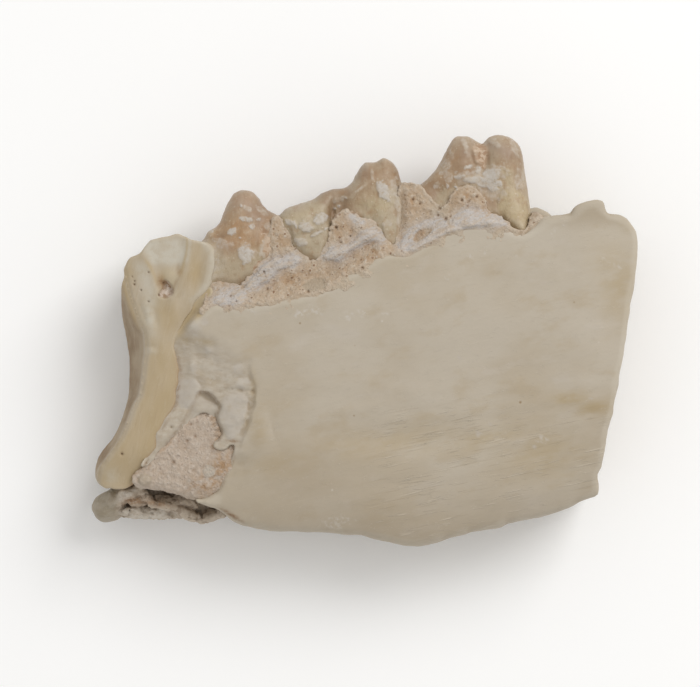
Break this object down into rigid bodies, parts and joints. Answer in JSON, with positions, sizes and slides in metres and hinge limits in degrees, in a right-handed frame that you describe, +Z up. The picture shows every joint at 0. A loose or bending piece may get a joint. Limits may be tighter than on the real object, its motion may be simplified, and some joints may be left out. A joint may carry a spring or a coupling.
{
  "type": "fossil mammal jaw fragment",
  "caption": "Broken lower jaw fragment of a small hoofed mammal: a deep flat bone, three pointed crowns and a broken long-rooted tooth set in hardened sediment.",
  "frame": {"origin": "middle of the outline in X and Y, at the level the jaw lies on", "axes": "+X towards the broken rear end along the jaw, +Y towards the tooth tips, +Z up from the surface to the upward face of the bone"},
  "size_m": [0.064, 0.0478, 0.0145],
  "materials": {
    "fossil_bone": "smooth satin, fine lengthwise grain",
    "dentine": "polished satin",
    "enamel": "glossy with chalky white spots",
    "sediment": "matt, porous and granular",
    "dark_sediment": "matt, crumbly"
  },
  "bodies": {
    "root": {"jaw_bone": "fossil_bone", "broken_tooth": "dentine", "crown_front": "enamel", "crown_middle": "enamel", "crown_rear": "enamel", "gum_matrix": "sediment", "end_plug": "sediment", "end_crust": "dark_sediment"}
  },
  "joints": []
}
